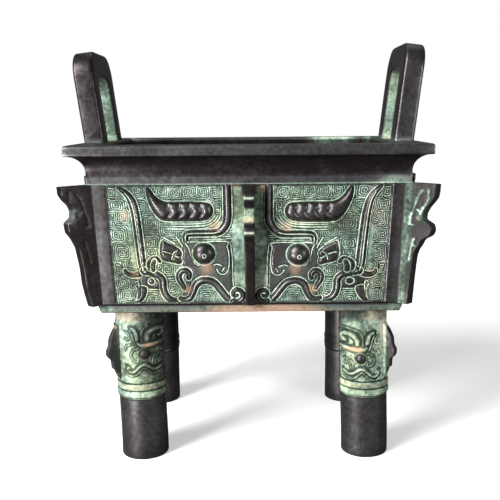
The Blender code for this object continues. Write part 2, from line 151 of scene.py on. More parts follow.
def aged_bronze():
    """Dark bronze under corrosion, by the mark of each point: how bare, pale and coppery it is,
    the marks' painted light and shade included.
    """
    skin = Skin("patinated_bronze")
    place = skin.node("ShaderNodeTexCoord", output="Object")
    patches, grain = skin.noise(place, *PATCHES), skin.noise(place, *GRAIN)
    specks, drift = skin.noise(place, *SPECKS), skin.noise(place, *DRIFT)
    mark = skin.node("ShaderNodeAttribute", {"attribute_name": "patina"}, output="Color")
    split = skin.tree.nodes.new("ShaderNodeSeparateColor")
    skin.tree.links.new(mark, split.inputs[0])
    bare, pale, coppery = (Value(skin, socket) for socket in split.outputs)

    cover = (bare * 3.2 - 1.1 + (patches - 0.5) * 2.8 + (grain - 0.5) * 2.0).clamped()
    tone = pale + (grain - 0.5) * 1.1 + (patches - 0.5) * 1.1
    green = skin.node("ShaderNodeValToRGB", {"stops": GREENS}, {"Fac": tone})
    olive = skin.mix((drift * 4.0 - 1.7).clamped(), green, OLIVE_TINT, "MULTIPLY")
    copper = (coppery * 1.7 - 0.35 + (patches - 0.5) * 1.6 + (grain - 0.5) * 0.8).clamped()
    earth = skin.mix(copper * 0.7, olive, COPPER_EARTH)
    metal = skin.node("ShaderNodeValToRGB", {"stops": METALS}, {
        "Fac": pale * 0.9 + (patches - 0.5) * 0.6 + (grain - 0.5) * 0.5})
    colour = skin.mix(cover, earth, metal)
    pitting = (grain * 0.65 + specks * 0.35) * (1.25 - cover)
    bump = skin.node("ShaderNodeBump", sockets={
        "Strength": 0.55, "Distance": PITTING_DEPTH, "Height": pitting})
    skin.finish(Base_Color=colour, Metallic=cover * 0.88, Normal=bump, Specular_IOR_Level=0.5,
                Roughness=0.82 - cover * 0.45 + (grain - 0.5) * 0.25)
    return skin.material


def new_object(name, data):
    """An object in the scene."""
    made = bpy.data.objects.new(name, data)
    bpy.context.scene.collection.objects.link(made)
    return made


BRONZE = aged_bronze()
# How far the surface wanders, in mm, and the angle from which an edge shows as sharp
SWELL, SHARP_ANGLE = 0.08, math.radians(50)


def cast(name, rings, marks):
    """Make a closed piece from rings of points in mm, stacked from one flat end to the other.

    Marks give every point's corrosion and its painted light and shade: bare, pale and coppery,
    each from 0 to 1.
    """
    rows, steps = rings.shape[:2]
    work = bmesh.new()
    bmesh.ops.create_grid(work, x_segments=steps, y_segments=rows - 1, size=1.0)
    mesh = bpy.data.meshes.new(name)
    work.to_mesh(mesh)
    flat = np.empty(len(mesh.vertices) * 3)
    mesh.vertices.foreach_get("co", flat)
    flat = flat.reshape(-1, 3)
    step = np.rint((flat[:, 0] + 1) / 2 * steps).astype(int)
    row = np.rint((flat[:, 1] + 1) / 2 * (rows - 1)).astype(int)
    places = rings[row, step % steps]
    swell = SWELL * np.stack([np.sin(places[:, 1] * 0.11 + places[:, 2] * 0.09),
                              np.sin(places[:, 0] * 0.09 + places[:, 2] * 0.13),
                              np.zeros(len(places))], axis=1)
    places = np.clip((places + swell) * MM, cad_box[0], cad_box[1])
    mesh.vertices.foreach_set("co", places.ravel())
    patina = mesh.attributes.new("patina", "FLOAT_COLOR", "POINT")
    colours = np.ones((len(places), 4))
    colours[:, :3] = np.clip(marks[row, step % steps], 0, 1)
    patina.data.foreach_set("color", colours.ravel())

    work.clear()
    work.from_mesh(mesh)
    work.verts.ensure_lookup_table()
    number = {(r, s): index for index, (r, s) in enumerate(zip(row, step)) if s in (0, steps)}
    seam = {work.verts[number[r, steps]]: work.verts[number[r, 0]] for r in range(rows)}
    bmesh.ops.weld_verts(work, targetmap=seam)
    bmesh.ops.holes_fill(work, edges=[edge for edge in work.edges if edge.is_boundary], sides=0)
    bmesh.ops.recalc_face_normals(work, faces=work.faces)
    work.to_mesh(mesh)
    work.free()
    mesh.shade_smooth()
    mesh.set_sharp_from_angle(angle=SHARP_ANGLE)
    mesh.materials.append(BRONZE)
    piece = new_object(name, mesh)
    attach(piece, "root")
    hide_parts("ding")


HALF_LENGTH, HALF_WIDTH = 91.0, 68.0
SIDE_BOTTOM, SIDE_TOP = 100.4, 171.5
SPREAD = 3.2
FLARE = SPREAD / (SIDE_TOP - SIDE_BOTTOM)
NECK_OUT, COVE, COVE_FOOT, COVE_POINTS = 2.5, 9.6, 178.4, 13
RIM_TOP = 194.0
CORNER_POINTS, LONG_RUNS, SHORT_RUNS = 5, 46, 34


def box_ring(half_length, half_width, height, corner):
    """One level of the box, with rounded corners."""
    corners = []
    for quarter, (along, across) in enumerate(((1, -1), (1, 1), (-1, 1), (-1, -1))):
        middle = np.array([along * (half_length - corner), across * (half_width - corner)])
        bend = np.radians(90 * quarter - 90 + np.linspace(0, 90, CORNER_POINTS))
        corners.append(middle + corner * np.column_stack([np.cos(bend), np.sin(bend)]))
    ring = []
    for quarter, runs in enumerate((SHORT_RUNS, LONG_RUNS) * 2):
        start, end = corners[quarter][-1], corners[(quarter + 1) % 4][0]
        ring.extend(corners[quarter])
        ring.extend(start + (end - start) * run / runs for run in range(1, runs))
    ring = np.array(ring)
    return np.column_stack([ring, np.full(len(ring), height)])


# Levels of the section: how far outside the side's lower edge, how high, the radius of the
# corners, then how bare, pale and coppery
# The base strip's paleness paints a dark line along its top, under the body's edge, as painted
# shadow, and a lighter band down its middle, partly its own patina and partly painted highlight
levels = [(-2.4, 95, 1, 0.7, 0.2, 0.1), (-2.2, 95.5, 1, 0.45, 0.5, 0.4),
          (-1.7, 96.8, 1, 0.5, 0.55, 0.2), (-1.2, 98.4, 1, 0.55, 0.5, 0.1),
          (-1.1, 99.4, 1, 0.6, 0.35, 0.1), (-1.6, 99.9, 1, 0.7, 0.05, 0.1),
          (-1.9, 100.6, 0.8, 0.7, 0.1, 0), (1.2, 171.2, 0.8, 0.7, 0.3, 0),
          # The neck band is painted lighter and the cove above it dark brown: partly their own
          # tone, partly painted light on the neck and painted shade under the lip
          (2.95, 171.52, 0.8, 0.3, 0.75, 0.2), (NECK_OUT, 171.85, 0.8, 0.5, 0.6, 0.15),
          (NECK_OUT, 172.3, 0.8, 0.8, 0.5, 0.05), (NECK_OUT, 175.4, 0.8, 0.92, 0.5, 0),
          (NECK_OUT, 176.4, 0.8, 0.95, 0.2, 0.1)]
for angle in np.radians(np.linspace(180, 90, COVE_POINTS)):
    levels.append((NECK_OUT + COVE + COVE * math.cos(angle), COVE_FOOT + COVE * math.sin(angle),
                   0.8, 0.96, 0.04, 0.3))
levels += [(12.5, 188.15, 0.8, 0.95, 0.3, 0), (12.7, 188.6, 0.8, 0.93, 0.36, 0),
           (12.72, 190, 0.8, 0.95, 0.38, 0), (12.72, 192.4, 0.8, 0.95, 0.38, 0),
           (12.6, 193.3, 0.8, 0.9, 0.4, 0), (11.9, RIM_TOP, 1, 0.85, 0.3, 0),
           (8, RIM_TOP, 1.5, 0.85, 0.25, 0), (2, RIM_TOP, 2, 0.8, 0.3, 0),
           (-1.6, RIM_TOP, 2, 0.8, 0.5, 0), (-2.3, 193.6, 2, 0.75, 0.5, 0),
           # The band painted dark on the inner wall just below the rim is a painted shadow
           (-2.5, 192.6, 2, 0.6, 0.4, 0), (-2.5, 191.4, 2, 0.75, -0.1, 0),
           (-2.5, 187, 2, 0.7, -0.1, 0), (-2.5, 182, 2, 0.5, 0.35, 0),
           (-2.5, SIDE_TOP, 2, 0.4, 0.35, 0), (-3.7, 136, 2, 0.4, 0.35, 0),
           (-4.9, 103, 2, 0.35, 0.4, 0.2), (-5.4, 100.7, 2, 0.3, 0.5, 0.3),
           (-6.4, 100, 2, 0.3, 0.5, 0.3)]
rings = np.array([box_ring(HALF_LENGTH + out, HALF_WIDTH + out, height, corner)
                  for out, height, corner, *mark in levels])
marks = np.array([[mark] * rings.shape[1] for out, height, corner, *mark in levels])

# Patches of their own, each by its middle along X and its reach: coppery scale on the front of
# the base strip, verdigris at the right end of the neck and inside the rim at the back
SCALE_PATCH, NECK_PATCH, LINING_PATCH = (8, 36), (84, 14), (62, 17)
x, y, z = np.moveaxis(rings, 2, 0)
outs = np.array([level[0] for level in levels])[:, None]
scale = np.exp(-((x - SCALE_PATCH[0]) / SCALE_PATCH[1]) ** 4) * (y < 0) * (z < 99.6)
smear = np.exp(-((x - NECK_PATCH[0]) / NECK_PATCH[1]) ** 2) * (y < 0) * (outs > 0)
smear *= np.abs(z - 174) < 3
lining = np.exp(-((x - LINING_PATCH[0]) / LINING_PATCH[1]) ** 4) * (y > 0) * (outs < -1)
lining *= z > 185
sheltered = (outs < -1) & (np.abs(x) > 84) & (np.abs(y) > 61)
marks[..., 0] -= 0.2 * scale + 0.4 * smear + 0.5 * lining + 0.6 * sheltered
marks[..., 1] += 0.15 * smear + 0.45 * lining
marks[..., 2] += 0.5 * scale
cast("vessel", rings, marks)

# The masks on the sides
# Each side carries half a taotie on either hand of its middle flange: brow, eye, nose and jaw
# stand up from a ground of square spirals. They come from the mould with the wall; the high
# forms are rubbed dark, with painted highlights on their crests and painted shade in the
# creases at their feet, and pale corrosion lines every edge.
PANEL_BOTTOM, PANEL_TOP = 101.0, 171.2
PANEL_BORDER, PANEL_DEPTH = 11.5, 1.2
PATTERN_WIDTH, PATTERN_HEIGHT = 80.0, 70.0

# Strokes of the mask: (across from the middle, up, half width)
BANDS = {
    "nose": [
        (12.3, 69.4, 1.7), (12.3, 61, 1.7), (12.3, 51.4, 1.7), (13.5, 46, 1.7),
        (16.7, 42.4, 1.7), (20.7, 41.5, 1.5), (28.7, 41.4, 1.4), (34.5, 41.2, 1.3),
        (36.3, 40, 1.1), (36.4, 37, 0.9)],
    "bar": [
        (72.3, 68.5, 0.6), (68.3, 65.2, 1.2), (65.7, 61, 1.6), (64.3, 55, 1.7),
        (63.6, 47.8, 1.7), (63.1, 39.4, 1.7), (62.6, 30.9, 1.7), (62.2, 23.7, 1.7),
        (61.3, 19.5, 1.7)],
    "bar foot": [
        (61.6, 18.9, 1.5), (65.5, 17.1, 1.1), (69.2, 17, 0.9), (71.5, 18, 0.7),
        (72.3, 19.5, 0.5)],
    "leg": [
        (61.3, 19.2, 1.7), (57.2, 18.1, 1.2), (53.5, 16.8, 1.3), (51, 13.8, 1.4),
        (50.9, 9.3, 1.4), (49.9, 5.4, 1.4), (47.7, 2.8, 1.3), (43.9, 1.8, 0.7)],
    "jaw": [
        (41.2, 2.8, 0.7), (38.3, 2, 1.1), (35.3, 3.3, 1.2), (33.4, 6.9, 1.3), (31.8, 10.5, 1.5),
        (28.8, 12.9, 1.5), (25.3, 13.4, 1.5), (21.5, 12.3, 1.5), (18.4, 9, 1.5),
        (15.8, 5.4, 1.5), (13.2, 2.4, 1.4), (10.2, 0.9, 1.2)],
    "jaw curl": [
        (10.2, 0.9, 1.1), (6.8, 0.9, 1), (4.3, 3.2, 0.9), (4.9, 6.6, 0.8), (8, 7.9, 0.7),
        (10.2, 5.9, 0.6), (9.2, 3.9, 0.5), (7.6, 4.4, 0.4)],
    "mouth corner": [
        (38.4, 8.7, 0.7), (39.5, 11.1, 0.9), (41.1, 13.8, 1.1), (41.3, 16.8, 1.1),
        (39.5, 19, 1.1), (36.8, 19.2, 1.1), (35.3, 17.4, 1), (35.7, 15, 0.7)],
    "outer crescent": [
        (58.1, 20.4, 0.5), (58.4, 23.4, 0.6), (56.9, 25.8, 0.6), (53.9, 26.9, 0.5),
        (52, 24.9, 0.4)],
    "inner crescent": [(56, 19.8, 0.6), (56, 22.5, 0.6), (55.1, 24.9, 0.5)],
}
# Flat forms: how high they stand, how bare they are, and their outlines (across, up)
PLATES = {
    "cheek": (0.9, 0.58, [
        (36.9, 35.2), (31.2, 36.1), (13.9, 36.4), (11.4, 30.9), (10.9, 23.7), (11, 15.3),
        (10.8, 6.3), (13.4, 8.1), (16.3, 11.4), (19.7, 14.4), (25.9, 15.6), (30.6, 14.4),
        (33.5, 12), (34.3, 15.9), (34.8, 18.9), (37.3, 21.6), (38.7, 23.7), (38.2, 29.7)]),
    "ear": (1.2, 0.95, [
        (50.4, 34.8), (50.9, 29.7), (49.1, 25.8), (44.2, 24.6), (40.7, 23.7), (39.5, 25.2),
        (40.3, 27.3), (39.4, 29.4), (40.5, 31.5), (43.3, 33.6), (47.8, 35.8), (49.5, 36.7)]),
    "fang": (1.1, 0.1, [
        (38.8, 11.7), (35.9, 12.6), (33.9, 11.1), (34.3, 7.5), (36.4, 3.6), (38.8, 3),
        (39.6, 4.5), (38.1, 7.5)]),
    "small head": (1.3, 0.7, [
        (63.8, 16.2), (59, 17.2), (54.4, 15.9), (52.5, 12.9), (53.3, 9.6), (58.8, 9.3),
        (63.8, 10.2)]),
    "claw": (1.5, 0.95, [
        (64.4, 9.6), (61.2, 9), (61.6, 6.3), (63, 3.3), (65.4, 1.3), (67.8, 1.3), (65.6, 3.9),
        (64.7, 6.9)]),
}
# Outline of the brow, and the seams between its lobes: (across, up)
BROW = [(56.6, 68.5), (56.5, 64), (55.4, 59.2), (53.3, 54.4), (50.6, 50.8), (47.3, 49.3),
        (37.1, 49), (26.9, 49.3), (23.1, 50.5), (21.1, 53.2), (21.1, 56.2), (22.7, 58.6),
        (26.6, 59.2), (33.9, 59.5), (45.2, 59.5), (49.7, 60.7), (52.9, 63.4), (55, 66.7)]
LOBES = [[(45.2, 60.2), (45, 56.2), (44.3, 54.1), (46.1, 51.4), (46.7, 48.6)],
         [(39, 60.2), (38.8, 56.2), (38.1, 54.1), (39.8, 51.4), (40.5, 48.6)],
         [(33.1, 60.2), (32.9, 56.2), (32.1, 54.1), (33.9, 51.4), (34.5, 48.6)],
         [(27.2, 60.2), (27, 56.2), (26.2, 54.1), (27.9, 51.4), (28.5, 48.6)]]
# Fine raised threads: (across, up)
THREADS = [
    [(36.9, 36.1), (13.9, 36.4), (12.8, 33.3), (12, 29.7), (11.8, 24.9), (12.1, 21.3),
     (13, 18.6), (14.7, 17.1), (17.1, 17.2), (18.5, 18.6), (19.1, 20.1)],
    [(14.7, 21), (16.2, 18.6)],
    [(20.8, 22.5), (18.7, 23), (16.1, 21.9)],
    [(36.6, 35.2), (35, 32.7), (34.2, 29.7), (32.9, 26.1), (31.5, 23.4), (29.2, 22.2)],
    [(50, 30.9), (46.4, 30), (43.5, 28.5), (40.6, 27)],
    [(41.4, 31.2), (43.7, 29.7), (45, 26.1)],
    [(67.8, 11.1), (66.9, 12.9), (65.4, 12.9), (65.1, 9.9), (65.6, 5.7), (66.9, 2.1)],
    [(67.8, 11.1), (66.5, 8.1), (66.7, 4.5), (67.8, 1.5)],
    [(50, 39.4), (42.7, 35.2)],
    [(41.9, 39.4), (38.1, 33.3)],
]
# Square spirals of the ground: (across, up, half its width, half its height)
SPIRALS = [
    (76.6, 65.8, 2, 3), (74.6, 58, 4, 3), (71.6, 51.4, 2.9, 3), (75.1, 40.6, 3.4, 3),
    (72.8, 30.3, 4.6, 4.8), (69.7, 23.7, 2.9, 2.4), (76.3, 20.1, 1.7, 3.6), (74.5, 12.3, 4.6, 4.8),
    (72.6, 4.8, 4.6, 4.2), (62.3, 66.4, 2.9, 3), (60.8, 56.8, 2.3, 3.6), (55.9, 47.2, 4.6, 4.2),
    (56.1, 35.8, 3.4, 3), (56.7, 30.3, 2.9, 2.4), (46.4, 43.6, 4, 3.6), (53.3, 22.5, 2.3, 2.4),
    (47.6, 20.1, 2.9, 3), (45.6, 9.3, 2.9, 4.2), (49.4, 66.4, 4, 3.6), (41.1, 65.8, 4, 3.6),
    (33.2, 65.8, 3.7, 3.6), (25.9, 65.8, 3.7, 3.6), (19.2, 65.2, 2.9, 3.6), (17.6, 58, 2.3, 3.6),
    (17.7, 54.4, 2.3, 3), (26, 1.5, 4.5, 6.5), (57.5, 0.9, 3.5, 5),
]
EYE_PLACE, EYE_RADIUS, EYE_RISE = (26.3, 29.3), 6.1, 4.4
SOCKET_WIDTH, SOCKET_RISE = 1.6, 0.5
PUPIL_PLACE, PUPIL_RADIUS = (26.0, 28.4), 1.1
CURL_PLACE, CURL_RADIUS, CURL_RISE = (37.6, 16.0), 1.7, 1.3
SMALL_EYE, SMALL_EYE_RADIUS = (57.5, 13.2), 2.1
BAND_RISE, BAND_ROUND = 1.9, 1.5
BROW_RISE, BROW_CROWN, BROW_ROUND, LOBE_ROUND = 0.7, 2.6, 4.4, 2.9
GROUND_RISE, STRIP_RISE = 0.6, 0.3
# Plain strips beside the middle flange and beside the bar: where, and half the bar's one
NOSE_STRIP, BAR_STRIP, BAR_STRIP_HALF = 10.3, 66.8, 2.1
# Lines that echo the brow's lower end: how far they reach from it, and how far apart they are
ECHO_REACH, ECHO_PITCH = 7.5, 1.5
# Coppery spots: (across, up, radius, strength)
COPPER_SPOTS = [(25, 20.5, 5.5, 0.6), (36.5, 8.5, 4, 0.7), (70, 52, 4, 0.35),
                (20, 45.5, 5, 0.45), (67, 17, 3.5, 0.6), (9, 69, 5, 0.4)]


def smooth_line(points, closed=False, steps=4):
    """A flowing line through points, which passes each along the chord of its neighbours."""
    points = np.array(points, float)
    if closed:
        points = np.vstack([points[-1], points, points[:2]])
    else:
        points = np.vstack([2 * points[0] - points[1], points, 2 * points[-1] - points[-2]])
    line = []
    for a, b, c, d in zip(points, points[1:], points[2:], points[3:]):
        for share in np.arange(steps) / steps:
            line.append(0.5 * (2 * b + (c - a) * share + (2 * a - 5 * b + 4 * c - d) * share ** 2
                               + (3 * b - a - 3 * c + d) * share ** 3))
    line.append(points[-2])
    return np.array(line)


def stroke_gap(across, up, line, half_width=0.0):
    """How far each place lies outside a stroke; a third number of a point is its half width."""
    gap = np.full(across.shape, 99.0)
    for start, end in zip(line, line[1:]):
        run, rise = end[0] - start[0], end[1] - start[1]
        share = (across - start[0]) * run + (up - start[1]) * rise
        share = np.clip(share / (run ** 2 + rise ** 2 + 1e-9), 0, 1)
        away = np.hypot(across - start[0] - share * run, up - start[1] - share * rise)
        width = half_width if len(start) == 2 else start[2] + (end[2] - start[2]) * share
        gap = np.minimum(gap, away - width)
    return gap


def plate_gap(across, up, outline):
    """How far each place lies outside a closed outline, less than nothing inside."""
    line = smooth_line(outline, closed=True)
    inside = np.zeros(across.shape, bool)
    for (x, y), (next_x, next_y) in zip(line, line[1:]):
        if y != next_y:
            crossing = x + (up - y) * (next_x - x) / (next_y - y)
            inside ^= ((y > up) != (next_y > up)) & (across < crossing)
    gap = stroke_gap(across, up, line)
    return np.where(inside, -gap, gap)


def ramp(value, low, high):
    """A smooth rise from 0 at low to 1 at high."""
    share = np.clip((value - low) / (high - low), 0, 1)
    return share * share * (3 - 2 * share)


def dome(share):
    """How high a round top stands at a share of its radius from the middle."""
    return np.sqrt(np.clip(1 - share ** 2, 0, 1))


class Relief:
    """Heights in mm over a ground, with corrosion marks and their painted light and shade, on a
    field of places.
    """

    def __init__(self, across, up):
        self.across, self.up = across, up
        self.height, self.bare, self.pale, self.coppery = np.zeros((4, *across.shape))

    def lay(self, where, height, pale):
        """Bring places to a height and a paleness."""
        self.height = self.height * (1 - where) + height * where
        self.pale = self.pale * (1 - where) + pale * where

    def lift(self, **least):
        """Bring fields up to at least these values."""
        for field, value in least.items():
            setattr(self, field, np.maximum(getattr(self, field), value))

    def form(self, gap, height, bare, edge=0.55, floor=0.0, crest=0.55):
        """A raised form: rounded shoulders, dark bare metal with its crest painted lighter, partly
        from handling and partly as a painted highlight, painted shade in the crease at its foot
        and a pale line beyond.
        """
        top = dome(1 - np.clip(-gap / edge, 0, 1))
        thread = ramp(0.5 - np.abs(gap - 1.0), 0, 0.35)
        around = ramp(-gap, -1.9, -1.5)
        # Painted shade over the form and in the crease round its foot, with a painted highlight
        # along the crest
        self.lay(around, floor, 0.06 + crest * top ** 4)
        self.lift(height=np.maximum(floor + height * top, 0.9 * thread), pale=0.88 * thread)
        self.bare = self.bare * (1 - around) + bare * ramp(-gap, -0.3, 0.2)
        self.coppery *= 1 - around

    def thread(self, gap, height=0.5):
        """A thin pale line on whatever is there, with a dark groove at each side."""
        line = ramp(0.55 - gap, 0, 0.4)
        groove = ramp(1.15 - gap, 0, 0.4) * (1 - line)
        self.height += height * line - 0.25 * groove
        self.pale = np.maximum(self.pale * (1 - 0.7 * groove), 0.9 * line)
        self.bare *= 1 - line


def mask_relief(across, up, width_scale, pitch):
    """Half a taotie over a ground of spirals, as wide as the panel; strokes keep their width."""
    relief = Relief(across, up)
    scale = np.array([width_scale, 1.0])

    nearest = np.full(across.shape, 99.0)
    phase = np.zeros(across.shape)
    for number, (x, y, half_width, half_height) in enumerate(SPIRALS):
        half_width = half_width * width_scale
        mean = math.sqrt(half_width * half_height)
        aside, above = (across - x * width_scale) / half_width, (up - y) / half_height
        size = (np.abs(aside) ** 6 + np.abs(above) ** 6) ** (1 / 6)
        turn = np.arctan2(above, aside) / (2 * math.pi) * (1 if number % 2 else -1)
        closer = size < nearest
        nearest = np.where(closer, size, nearest)
        phase = np.where(closer, size * mean / pitch - turn, phase)
    ridge = 0.5 + 0.5 * np.cos(2 * math.pi * phase)
    relief.height = GROUND_RISE * ramp(ridge, 0.3, 0.85)
    outer = ramp(across / width_scale, 55, 76)
    relief.pale = 0.08 - 0.07 * outer + (0.71 + 0.06 * outer) * ramp(ridge, 0.42, 0.92)
    relief.bare = 0.08 + 0.26 * outer * ramp(0.6 - ridge, 0, 0.4)

    nose_strip = ramp(NOSE_STRIP * width_scale - across, 0, 0.5)
    bar_strip = ramp(BAR_STRIP_HALF - np.abs(across - BAR_STRIP * width_scale), 0, 0.4)
    bar_strip *= ramp(up, 19, 22) * ramp(-up, -50, -46)
    plain = np.maximum(nose_strip, bar_strip)
    relief.lay(plain, STRIP_RISE, 0.56)
    relief.pale -= 0.16 * np.exp(-((across - 50) / 16) ** 2 - ((up - 40) / 15) ** 2)

    brow = plate_gap(across, up, np.array(BROW) * scale)
    echo = ramp(ECHO_REACH - brow, 0, 0.4) * ramp(46 * width_scale - across, 0, 3)
    echo *= ramp(54 - up, 0, 3) * ramp(up, 42, 43)
    rings = ramp(0.5 + 0.5 * np.cos(2 * math.pi * (brow - 0.6) / ECHO_PITCH), 0.25, 0.75)
    relief.lay(echo, GROUND_RISE * rings, 0.1 + 0.74 * rings)

    for name, (height, bare, outline) in PLATES.items():
        relief.form(plate_gap(across, up, np.array(outline) * scale), height, bare,
                    edge=0.7 + 0.8 * (name == "ear"), crest=0.25)
    for name, points in BANDS.items():
        line = smooth_line([(x * width_scale, y, half) for x, y, half in points])
        relief.form(stroke_gap(across, up, line), BAND_RISE, 0.97, edge=BAND_ROUND)

    lobes = np.full(across.shape, 99.0)
    for line in LOBES:
        lobes = np.minimum(lobes, stroke_gap(across, up, smooth_line(np.array(line) * scale)))
    relief.form(brow, BROW_RISE, 1.0, edge=0.5, crest=0.1)
    crown = dome(np.clip(1 + brow / BROW_ROUND, 0, 1))
    swell = dome(np.clip(1 - lobes / LOBE_ROUND, 0, 1))
    relief.height += BROW_CROWN * crown * (0.3 + 0.7 * swell)
    inside = ramp(-brow, 0.1, 0.6)
    upper = ramp(up, 50, 57)
    # Painted highlight on the upper tops of the brow's lobes
    relief.pale += 0.15 * inside * crown ** 3 * swell ** 4 * upper
    seam = ramp(0.28 + 0.17 * upper - lobes, 0, 0.35) * inside
    relief.lift(pale=(0.48 + 0.27 * upper) * seam)
    relief.bare *= 1 - 0.85 * seam

    for line in THREADS:
        relief.thread(stroke_gap(across, up, smooth_line(np.array(line) * scale)))
    nose_line = smooth_line([(x * width_scale, y) for x, y, half in BANDS["nose"][4:]])
    relief.thread(stroke_gap(across, up, nose_line), 0.25)
    bar_line = smooth_line([((x + 0.5) * width_scale, y) for x, y, half in BANDS["bar"][1:]])
    relief.thread(stroke_gap(across, up, bar_line), 0.25)

    eye = np.hypot(across - EYE_PLACE[0] * width_scale, up - EYE_PLACE[1])
    socket = ramp(EYE_RADIUS + SOCKET_WIDTH - eye, 0, 0.5)
    relief.lay(socket, SOCKET_RISE, 0.2)
    relief.bare *= 1 - socket
    halo = ramp(0.6 - np.abs(eye - EYE_RADIUS - 0.75), 0, 0.4)
    relief.height += 0.4 * halo
    relief.lift(pale=0.78 * halo)
    ball = dome(eye / EYE_RADIUS)
    relief.lift(height=SOCKET_RISE + EYE_RISE * ball, bare=ramp(ball, 0.15, 0.4))
    pupil = np.hypot(across - PUPIL_PLACE[0] * width_scale, up - PUPIL_PLACE[1])
    circle = ramp(0.5 - np.abs(pupil - PUPIL_RADIUS), 0, 0.4)
    relief.height -= 0.25 * circle
    relief.bare *= 1 - 0.8 * circle
    relief.lift(pale=0.85 * circle)

    curl = np.hypot(across - CURL_PLACE[0] * width_scale, up - CURL_PLACE[1])
    knob = ramp(CURL_RADIUS - curl, 0, 0.6)
    relief.height += CURL_RISE * knob
    relief.lift(bare=knob)
    small = np.hypot(across - SMALL_EYE[0] * width_scale, up - SMALL_EYE[1])
    relief.thread(np.abs(small - SMALL_EYE_RADIUS), 0.3)
    relief.lift(bare=ramp(SMALL_EYE_RADIUS - 0.4 - small, 0, 0.5))

    for x, y, radius, strength in COPPER_SPOTS:
        spot = np.exp(-((across - x * width_scale) ** 2 + (up - y) ** 2) / radius ** 2)
        relief.lift(coppery=strength * spot)
        relief.bare *= 1 - 0.5 * strength * spot
    return relief


# How far the eye, the bar and the nose of the front's right half lie aside, and how far the
# rows of both halves sag or rise
EYE_SHIFT, BAR_SHIFT, NOSE_SHIFT, ROW_SAG = 2.4, 2.2, 1.6, 0.5


def hand_cut(across, up, hand):
    """Where the pattern's places fall on the front, whose two halves were not cut quite alike."""
    middle = np.sin(np.pi * np.clip(up / PATTERN_HEIGHT, 0, 1))
    if hand < 0:
        return up - ROW_SAG * middle, across
    eye = np.exp(-((across - 28) / 11) ** 2 - ((up - 28) / 11) ** 2)
    bar = np.exp(-((across - 67) / 8) ** 2)
    nose = np.exp(-((across - 11) / 7) ** 2) * ramp(up, 40, 50)
    return up + ROW_SAG * middle, across - EYE_SHIFT * eye - BAR_SHIFT * bar + NOSE_SHIFT * nose


# The relief is a shell let into the wall. It starts under the middle flange, and two sides
# meet half way round a corner.
SHELL_DEPTH, SHELL_START = 2.4, 1.5
SIDE_ROUND, SIDE_MEET = 0.8, 0.234


def half_side(name, half_along, half_out, outwards, along, spacing, pitch):
    """Half of one side of the vessel, from under its middle flange to the corner."""
    height = np.arange(SIDE_BOTTOM - 0.1, SIDE_TOP, spacing)
    height = np.append(height, SIDE_TOP)[:, None]
    spread = FLARE * (height - SIDE_BOTTOM)
    mean_half = half_along - PANEL_BORDER + SPREAD / 2
    panel_half = half_along - PANEL_BORDER + spread
    shares = np.arange(SHELL_START, mean_half, spacing) / mean_half
    border = np.append(0.3, np.linspace(0.7, PANEL_BORDER - SIDE_MEET, 11))
    distance = np.hstack([shares * panel_half, panel_half + border])
    across = np.hstack([shares * mean_half, mean_half + border]) + 0 * height
    up = (height - PANEL_BOTTOM) * PATTERN_HEIGHT / (PANEL_TOP - PANEL_BOTTOM) + 0 * across

    placed_up, placed_across = hand_cut(across, up, along[0]) if outwards[1] < 0 else (up, across)
    relief = mask_relief(placed_across, placed_up, mean_half / PATTERN_WIDTH, pitch)
    if outwards[1] < 0 and along[0] > 0:
        shaded = ramp(10 - across, 0, 3)
        relief.pale += 0.06 * shaded
        relief.coppery += 0.22 * shaded
        far = ramp(across, 56, 72)
        relief.bare += 0.6 * far * ramp(0.6 - relief.pale, 0, 0.3)
    rim = np.minimum(np.minimum(mean_half - across, up), PATTERN_HEIGHT - up)
    framed = ramp(-rim, -0.5, 0.05)
    edge_line = ramp(0.5 - np.abs(rim - 0.7), 0, 0.4)
    # The plain border's metal tone, with a painted highlight strip down its middle
    border_tone_and_sheen = 0.2 + 0.2 * ramp(-np.abs(across - mean_half - 6), -4.5, -1.5)
    relief.lay(framed, PANEL_DEPTH, border_tone_and_sheen)
    relief.pale = np.maximum(relief.pale * (1 - edge_line), 0.25 * edge_line)
    relief.bare = relief.bare * (1 - framed) + 0.9 * framed
    if outwards[1] < 0 and along[0] > 0:
        verdigris = ramp(across - mean_half, 5, 8)
        relief.bare -= 0.5 * verdigris
        relief.pale += 0.1 * verdigris
    else:
        relief.coppery += 0.3 * ramp(-np.abs(across - mean_half - 5.5), -4, -1)
    top_edge = ramp(height, SIDE_TOP - 0.35, SIDE_TOP) + 0 * across
    top_edge *= 1 - 0.7 * framed * ramp(across, mean_half, mean_half + 1)
    relief.bare *= 1 - 0.8 * top_edge
    relief.lift(pale=0.75 * top_edge)

    corner_gap = np.clip(half_along + spread - distance, 0, SIDE_ROUND)
    drop = SIDE_ROUND - np.sqrt(SIDE_ROUND ** 2 - (SIDE_ROUND - corner_gap) ** 2)
    drop = drop + 0.5 * ramp(SIDE_BOTTOM + 0.4 - height, 0, 0.5)
    out = half_out + spread - PANEL_DEPTH + relief.height - drop
    inner = half_out + spread - SHELL_DEPTH
    distance = np.hstack([distance, half_along + spread - SHELL_DEPTH, SHELL_START + 0 * height])
    out = np.hstack([out, inner, inner])
    level = height + 0 * distance
    rings = (distance[..., None] * np.array([*along, 0]) + level[..., None] * np.array([0, 0, 1])
             + out[..., None] * np.array([*outwards, 0]))
    mark = np.stack([relief.bare, relief.pale, relief.coppery], axis=2)
    mark = np.concatenate([mark, mark[:, -1:], mark[:, :1]], axis=1)
    cast(name, rings, mark)


